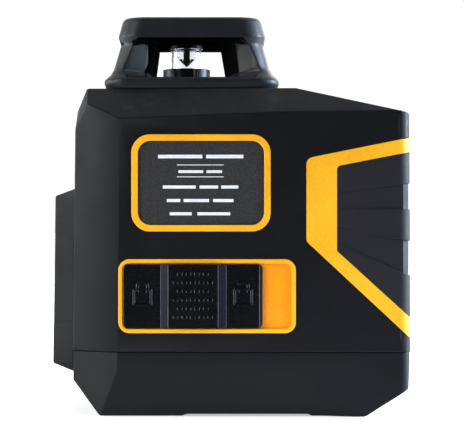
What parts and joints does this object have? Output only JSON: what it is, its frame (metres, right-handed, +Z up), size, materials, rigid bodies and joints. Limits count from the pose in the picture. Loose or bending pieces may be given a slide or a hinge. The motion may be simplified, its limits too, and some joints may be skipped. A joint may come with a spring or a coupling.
{
  "type": "rotating laser level",
  "caption": "Self-levelling line laser level: faceted two-part case, open-windowed head cage over a glass cone lens, front line window, slide lock.",
  "frame": {"origin": "centre of the footprint, on the plane that the foot pads stand on", "axes": "+Z up along the plumb axis, -X towards the vertical line's window, -Y towards the lock switch"},
  "size_m": [0.1208, 0.0752, 0.1348],
  "materials": {
    "shell_plastic": "matte",
    "cage_plastic": "satin",
    "yellow_trim": "satin",
    "grip_rubber": "matte",
    "pad_rubber": "matte",
    "clear_glass": "polished",
    "lamp_plastic": "satin",
    "label_plastic": "matte",
    "inner_plastic": "matte",
    "cast_frame": "satin",
    "steel": "satin",
    "magnet_nickel": "gloss",
    "key_plastic": "satin",
    "circuit_board": "satin",
    "cell_wrap": "gloss",
    "brass": "satin",
    "switch_plastic": "gloss",
    "black_aluminium": "satin",
    "mirror_coat": "polished",
    "copper": "satin"
  },
  "bodies": {
    "housing": {"upper_housing": "shell_plastic", "base_housing": "shell_plastic", "head_cage": "cage_plastic", "chevron_trim": "yellow_trim", "rear_grip": "grip_rubber", "front_bezel": "shell_plastic", "front_window": "clear_glass", "foot_pads": "pad_rubber", "label_frame": "yellow_trim", "label_plate": "label_plastic", "lock_frame": "yellow_trim", "brake_guide": "inner_plastic", "gimbal_bracket": "cast_frame", "outer_bearings": "steel", "magnet_yoke": "steel", "damping_magnets": "magnet_nickel", "keypad_panel": "key_plastic", "indicator_lens": "lamp_plastic", "key_board": "circuit_board", "main_board": "circuit_board", "charging_socket": "steel", "battery_cells": "cell_wrap", "battery_holder": "inner_plastic", "battery_contacts": "magnet_nickel", "tripod_insert": "brass", "cage_screws": "steel", "bracket_screws": "steel", "base_screws": "steel"},
    "lock_switch": {"lock_slider": "switch_plastic", "slider_carriage": "inner_plastic", "slider_screws": "steel"},
    "brake": {"brake_plunger": "inner_plastic", "brake_pad": "pad_rubber"},
    "gimbal_ring": {"gimbal_ring": "cast_frame", "outer_pivot_pins": "steel", "inner_bearings": "steel"},
    "pendulum": {"pendulum_frame": "cast_frame", "inner_pivot_pins": "steel", "circle_laser_barrel": "brass", "lens_collar": "black_aluminium", "glass_tube": "clear_glass", "cone_mirror": "mirror_coat", "mirror_cap": "black_aluminium", "line_lens": "clear_glass", "line_laser_barrel": "brass", "counterweight": "brass", "damping_disc": "copper", "brake_seat": "inner_plastic"},
    "line_key": {"line_key": "key_plastic"},
    "circle_key": {"circle_key": "key_plastic"},
    "pulse_key": {"pulse_key": "key_plastic"},
    "port_flap": {"port_flap": "pad_rubber"}
  },
  "joints": [
    {"name": "lock_slide", "type": "slide", "parent": "housing", "child": "lock_switch", "axis": [1, 0, 0], "range_m": [0, 0.009]},
    {"name": "brake_slide", "type": "slide", "parent": "housing", "child": "brake", "axis": [0, 0, 1], "range_m": [-0.0025, 0]},
    {"name": "gimbal_roll", "type": "hinge", "parent": "housing", "child": "gimbal_ring", "pos_m": [-0.0161, 0, 0.092], "axis": [1, 0, 0], "range_deg": [-4, 4]},
    {"name": "gimbal_pitch", "type": "hinge", "parent": "gimbal_ring", "child": "pendulum", "pos_m": [-0.0161, 0, 0.092], "axis": [0, 1, 0], "range_deg": [-4, 4]},
    {"name": "line_key_press", "type": "slide", "parent": "housing", "child": "line_key", "axis": [-0.2142, 0, -0.9768], "range_m": [0, 0.0006], "stiffness_N_per_m": 900, "springref_m": -0.0006},
    {"name": "circle_key_press", "type": "slide", "parent": "housing", "child": "circle_key", "axis": [-0.2142, 0, -0.9768], "range_m": [0, 0.0006], "stiffness_N_per_m": 900, "springref_m": -0.0006},
    {"name": "pulse_key_press", "type": "slide", "parent": "housing", "child": "pulse_key", "axis": [-0.2142, 0, -0.9768], "range_m": [0, 0.0006], "stiffness_N_per_m": 900, "springref_m": -0.0006},
    {"name": "flap_hinge", "type": "hinge", "parent": "housing", "child": "port_flap", "pos_m": [-0.024, 0.0366, 0.0614], "axis": [-1, 0, 0], "range_deg": [0, 105]}
  ],
  "couplings": [
    {"joint": "brake_slide", "follows": "lock_slide", "ratio": -0.27778}
  ]
}
